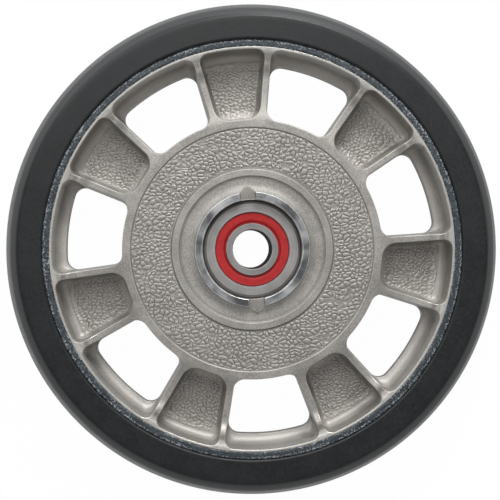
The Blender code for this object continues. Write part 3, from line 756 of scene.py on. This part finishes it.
def notch_pad(way, face):
    """Floor of a notch: a blunt arrow shape, drawn in at the top edge and let out towards its foot."""
    shape = np.array([(20.3, -3.3), (23.2, -3.3), (23.6, -3.0), (25.6, -0.6), (25.9, 0.0),
                      (25.6, 0.6), (23.6, 3.0), (23.2, 3.3), (20.3, 3.3)])
    shape = np.concatenate([shape[i] + (shape[i + 1] - shape[i]) * np.linspace(0, 1, 5, endpoint=False)[:, None]
                            for i in range(len(shape) - 1)] + [shape[-1:]])
    middle = np.array([22.8, 0.0])
    rows = [at_height(middle + (shape - middle) * grow, height) for grow, height in (
        (0, NOTCH_FLOOR + 0.02), (0.93, NOTCH_FLOOR + 0.02), (0.98, NOTCH_FLOOR - 0.03), (1.02, NOTCH_FLOOR - 0.2),
        (1.1, 17.9), (1.1, 17.0), (0, 17.0))]
    return spun(np.stack(rows), way) * [1, 1, face]


pad_grids = [(notch_pad(way, face), True, 0) for way in NOTCH_WAYS for face in (1, -1)]
make_piece("notch_pads", pad_grids, [notch_metal], "wheel")

# %% [markdown]
# ## Pebbled surfaces
#
# A pocket's floor and the ring round the boss are thin slabs let into the casting. Their tops are grids fine
# enough to carry each pebble as real shape, and they sink below the metal round them at their borders.

# %% Pebbled ring
PEBBLE_STEP = 0.34
RING_BASE = 16.4


def pebbled_ring(face):
    radius = np.linspace(32.6, 49.5, int(16.9 / PEBBLE_STEP))
    angles = circle(int(2 * math.pi * 41 / PEBBLE_STEP))
    x, y = np.moveaxis(polar(radius[:, None], angles[None]), -1, 0)
    mask = smooth_step(33.0, 33.9, radius[:, None]) * smooth_step(49.3, 48.7, radius[:, None])
    top = LAND - 0.75 + mask * (0.1 + 0.45 * pebbles(x, y, 1.75, 3 + face))
    grid = np.stack([x, y, top], -1)
    base = revolve([(49.5, RING_BASE), (32.6, RING_BASE)], angles)
    return np.concatenate([grid, base, grid[:1]]) * [1, 1, face]


for label, face in (("front", 1), ("rear", -1)):
    make_piece(label + "_pebbled_ring", [(pebbled_ring(face), True, 0)], [pebbled_metal], "wheel")


# %% Pebbled floors
def border_ring(grid):
    """Points round the edge of an open grid, in order."""
    return np.concatenate([grid[0, :-1], grid[:-1, -1], grid[-1, :0:-1], grid[:0:-1, 0]])


def pebbled_floor(angle, face, seed):
    """Floor of one pocket, as a grid of radius and angle, with its walls and its base.

    At a distance d inside the wall, a fillet of size s stands s - sqrt(s^2 - (s - d)^2) over the web. The
    pebbles climb it, and it is twice as wide on the hub's side. At the rim they stop at its foot.
    """
    inset, corner, wide = drafted(WEB), 5.7, 5.0
    radius = np.linspace(53.0, 79.6, int(26.4 / PEBBLE_STEP))[:, None]
    turn = np.linspace(-0.97 * POCKET_HALF, 0.97 * POCKET_HALF, int(24 / PEBBLE_STEP))[None]
    side = radius * np.sin(POCKET_HALF - np.abs(turn)) - RIB_HALF - inset
    from_hub, from_rim = radius - HUB_EDGE - inset, RIM_INSIDE - inset - FILLET - radius
    inside = corner - np.hypot(np.maximum(corner - side, 0), np.maximum(corner - from_hub, 0))
    climb = FILLET - np.sqrt(FILLET ** 2 - np.clip(FILLET - inside, 0, FILLET) ** 2)
    climb = np.maximum(climb, wide - np.sqrt(wide ** 2 - np.clip(wide - from_hub, 0, wide) ** 2))
    x, y = np.moveaxis(polar(radius, turn + angle), -1, 0)
    mask = smooth_step(0.6, 1.7, inside) * smooth_step(-0.5, 0.6, from_rim)
    top = WEB + climb - 0.25 + mask * (0.2 + 0.42 * pebbles(x, y, 1.5, seed))
    grid = np.stack([x, y, top], -1)
    rim = border_ring(grid)
    base = rim * [1, 1, 0] + [0, 0, 1.6]
    closing = np.stack([rim, base, np.broadcast_to(base.mean(0), base.shape)])
    return [(grid * [1, 1, face], False, 0), (closing * [1, 1, face], True, 0)]


for label, face in (("front", 1), ("rear", -1)):
    floor_grids = []
    for number in range(7):
        floor_grids += pebbled_floor(FIRST_WINDOW + PATTERN * (number + 0.5), face, 20 + number)
    make_piece(label + "_pocket_floors", floor_grids, [pocket_metal], "wheel")

# %% [markdown]
# ## Tyre
#
# The rubber was moulded straight on to the rim. A thin flash of it laps over the rim's edge, scuffed and
# ragged, with a groove between it and the side wall. The section is spun round the axis, and noise moves
# the flash's inner edge so that it isn't a perfect circle.

# %% Tyre
TREAD_EDGE, TYRE_FACE, FLASH_TOP = 101.6, 19.5, 18.55
flash_line = eased([(84.5, 17.9), (FLASH_INSIDE + 0.1, 17.9), (FLASH_INSIDE, 18.35), (82.8, FLASH_TOP),
                    (FLASH_OUTSIDE, FLASH_TOP), (84.8, 18.2), (84.95, 18.2), (85.2, 19.25), (85.8, TYRE_FACE),
                    (92.8, TYRE_FACE)], [0.1, 0.1, 0.15, 0.1, 0.06, 0.06, 0.15, 0.25], 3)
tread_size, shoulder_size = 42.0, 4.2
crown_middle = TREAD_EDGE - tread_size
shoulder_height = TYRE_FACE - shoulder_size
shoulder_middle = crown_middle + math.sqrt((tread_size - shoulder_size) ** 2 - shoulder_height ** 2)
meeting = math.degrees(math.atan2(shoulder_height, shoulder_middle - crown_middle))
shoulder = arc(shoulder_middle, shoulder_height, shoulder_size, 90, meeting, 12)
shoulder = 0.4 * shoulder + 0.6 * np.linspace(shoulder[0], shoulder[-1], len(shoulder))
crown = arc(crown_middle, 0, tread_size, meeting, 0, 14)
tyre_half = np.concatenate([flash_line, shoulder, crown[1:]])
tyre_line = np.concatenate([tyre_half, mirrored(tyre_half[:-1]), tyre_half[:1]])
tyre_angles = circle(400)
tyre_grid = revolve(tyre_line, tyre_angles)
ring_radius = np.hypot(tyre_grid[..., 0], tyre_grid[..., 1])
ragged = drift(tyre_grid[..., 0], tyre_grid[..., 1], 2.6, 5) + 0.6 * drift(tyre_grid[..., 0], tyre_grid[..., 1], 0.9, 6)
loose = smooth_step(83.6, 82.4, ring_radius) * (np.abs(tyre_grid[..., 2]) > 18.2)
tyre_grid[..., :2] *= (1 + loose * 0.22 * ragged / ring_radius)[..., None]
band = (ring_radius > 82.3) & (ring_radius < 84.6) & (np.abs(tyre_grid[..., 2]) > 18.2)
tyre_grid[..., 2] += np.sign(tyre_grid[..., 2]) * band * 0.06 * ragged
split = len(flash_line) - 12
tyre_grids = [(tyre_grid[:split + 1], True, 1), (tyre_grid[split:len(tyre_grid) - split], True, 0),
              (tyre_grid[len(tyre_grid) - split - 1:], True, 1)]
make_piece("tyre_rubber", tyre_grids, [tyre_rubber, flash_rubber], "wheel", ["tyre"])

# %% [markdown]
# ## Bearings
#
# A sealed bearing shows an outer ring with rounded corners, a red seal with a raised bead and a thin inner
# lip, and an inner ring with a small chamfer at its bore. The same sections serve both ends. The balls,
# cages and inner seals behind the front seal stay as the frame has them.

# %% Rings and seals
BEARING_TOP, BEARING_BOTTOM = 17.1, 6.1
BORE = 7.9375
SEAL_TOP = 16.4
ring_angles = circle(160)


def closed_ring(line):
    return revolve(np.concatenate([line, line[:1]]), ring_angles)


outer_line = eased([(14.9, 10.2), (14.9, 15.6), (15.16, 15.6), (15.16, BEARING_TOP), (18.5, BEARING_TOP),
                    (19.8, BEARING_TOP - 1.3), (19.8, BEARING_BOTTOM + 1.3), (18.5, BEARING_BOTTOM),
                    (15.16, BEARING_BOTTOM), (15.16, 7.6), (14.9, 7.6), (14.9, 10.2)],
                   [0.05, 0.05, 0.12, 0.15, 0.5, 0.5, 0.15, 0.12, 0.05, 0.05], 5)[:-1]
inner_line = eased([(11.3, 10.2), (11.3, 15.6), (10.54, 15.6), (10.54, BEARING_TOP),
                    (BORE + 0.35, BEARING_TOP), (BORE, BEARING_TOP - 0.35), (BORE, BEARING_BOTTOM + 0.35),
                    (BORE + 0.35, BEARING_BOTTOM), (10.54, BEARING_BOTTOM), (10.54, 7.6), (11.3, 7.6),
                    (11.3, 10.2)], [0.05, 0.05, 0.15, 0.1, 0.1, 0.1, 0.1, 0.15, 0.05, 0.05], 4)[:-1]
seal_line = eased([(10.64, 15.66), (14.95, 15.66), (14.95, 16.2), (14.7, SEAL_TOP), (14.2, SEAL_TOP - 0.06),
                   (12.4, SEAL_TOP - 0.08), (11.7, SEAL_TOP - 0.15), (11.3, 15.84), (10.8, 15.8),
                   (10.64, 15.75), (10.64, 15.66)], 0.12, 4)[:-1]
for label, face in (("front", 1), ("rear", -1)):
    for part, line, material, body, slot in (
        ("outer_ring", outer_line, ring_steel, "wheel", "bearing_steel"),
        ("inner_ring", inner_line, inner_steel, "axle_sleeve", "bearing_steel"),
        ("outer_seal", seal_line, seal_rubber, "wheel", "seal_rubber"),
    ):
        grid = closed_ring(line) * [1, 1, face]
        # Rows at the bore take the nearly black bore metal: painted shade.
        bore = np.flatnonzero(line[:, 0] < BORE + 0.2)
        cuts = [0, *bore[[0, -1]], len(line)] if len(bore) else [0, len(line)]
        grids = [(grid[cuts[i]:cuts[i + 1] + 1], True, i % 2) for i in range(len(cuts) - 1)]
        make_piece(f"{label}_{part}_turned", grids, [material, bore_shade], body, [f"{label}_{part}"])

# The spacer sleeve is nearly black too: painted shade.
sleeve_line = eased([(BORE, 0), (BORE, 5.9), (10.14, 5.9), (10.14, -5.9), (BORE, -5.9), (BORE, 0)], 0.2)[:-1]
make_piece("spacer_sleeve_turned", [(closed_ring(sleeve_line), True, 0)], [bore_shade], "axle_sleeve",
           ["spacer_sleeve"])

# %% Frame pieces that stay
STAYING = {"ball": ring_steel, "cage": cage_polymer, "inner_seal": seal_rubber}
for name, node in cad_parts.items():
    for word, material in STAYING.items():
        if word in name:
            node.data.materials.clear()
            node.data.materials.append(material)

# %% [markdown]
# ## Camera, light and floor
#
# The photograph looks almost straight along the axle from about 0.58 m, a little from the left, which is
# why one side of the bore's wall shows. The light is soft and comes mostly from the top of the picture, so
# slopes that face up are bright and those that face down are dark. The floor is white to the camera and
# keeps a trace of the wheel's shadow.

# %% Camera
CAMERA_DISTANCE, FOCAL_LENGTH, SENSOR = 580.0, 100.0, 36.0
camera_data = bpy.data.cameras.new("camera")
camera_data.lens, camera_data.sensor_width = FOCAL_LENGTH, SENSOR
camera = bpy.data.objects.new("camera", camera_data)
bpy.context.scene.collection.objects.link(camera)
camera_data.shift_x, camera_data.shift_y = 0.036, -0.0128
camera.location = Vector((-16.0, 2.3, 579.8)) * MM
aim = Vector((-8.0, 2.3, 0.0)) * MM
backward = (camera.location - aim).normalized()
sideways = Vector((0, 1, 0)).cross(backward).normalized()
camera.rotation_euler = Matrix((sideways, backward.cross(sideways), backward)).transposed().to_euler()
camera_data.clip_start, camera_data.clip_end = 0.01, 20.0
bpy.context.scene.camera = camera


# %% Lights
def add_light(name, place, size, power, colour=(1, 1, 1)):
    """Square soft light that faces the wheel."""
    data = bpy.data.lights.new(name, "AREA")
    data.shape, data.size, data.energy, data.color = "SQUARE", size, power, colour
    light = bpy.data.objects.new(name, data)
    bpy.context.scene.collection.objects.link(light)
    light.location = place
    light.rotation_mode = "QUATERNION"
    light.rotation_quaternion = (-Vector(place)).to_track_quat("-Z", "Y")
    return light


add_light("top light", (0.18, 0.77, 0.6), 0.3, 6.0)
add_light("left light", (-0.5, 0.62, 0.6), 0.4, 1.9)
add_light("front light", (-0.1, 0.5, 0.95), 0.5, 2.8)


def sees_background(tree, reflecting=1.0):
    """1 for rays that see the white background: from the camera, a glass, or a reflection of it."""
    path = add_node(tree, "ShaderNodeLightPath")
    reflected = maths(tree, "MULTIPLY", path.outputs["Is Glossy Ray"], reflecting)
    direct = maths(tree, "MAXIMUM", path.outputs["Is Camera Ray"], path.outputs["Is Transmission Ray"])
    return maths(tree, "MAXIMUM", direct, reflected)


STUDIO_LEVEL = 0.42
world = bpy.data.worlds.new("world")
bpy.context.scene.world = world
world.use_nodes = True
tree = world.node_tree
direction = add_node(tree, "ShaderNodeTexCoord").outputs["Generated"]
climb = add_node(tree, "ShaderNodeSeparateXYZ", {"Vector": direction}).outputs["Z"]
behind = sees_background(tree, ramp(tree, climb, 0.4, 0.0))
shown = add_node(tree, "ShaderNodeMix", {"Factor": behind, "A": STUDIO_LEVEL, "B": 1.0}, data_type="FLOAT")
tree.links.new(shown.outputs["Result"], tree.nodes["Background"].inputs["Strength"])
tree.nodes["Background"].inputs["Color"].default_value = (1, 1, 1, 1)

# %% Floor
FLOOR_SIZE = 3.0
corners = np.array([(-1, -1), (1, -1), (1, 1), (-1, 1)]) * FLOOR_SIZE / 2
floor_mesh = bpy.data.meshes.new("floor")
floor_mesh.from_pydata([(x, y, cad_low.z - 0.2 * MM) for x, y in corners], [], [(0, 1, 2, 3)])
floor = bpy.data.objects.new("floor", floor_mesh)
bpy.context.scene.collection.objects.link(floor)
paper, tree, shader = new_material("white paper", Roughness=0.9)
shader.inputs["Base Color"].default_value = (0.9, 0.9, 0.9, 1)
glow = add_node(tree, "ShaderNodeEmission", {"Strength": 1.0})
share = maths(tree, "MULTIPLY", sees_background(tree), 0.985)
cover = tree.nodes.new("ShaderNodeMixShader")
tree.links.new(share, cover.inputs[0])
tree.links.new(shader.outputs[0], cover.inputs[1])
tree.links.new(glow.outputs[0], cover.inputs[2])
tree.links.new(cover.outputs[0], tree.nodes["Material Output"].inputs["Surface"])
floor_mesh.materials.append(paper)

# %% Colour
bpy.context.scene.view_settings.view_transform = "Standard"
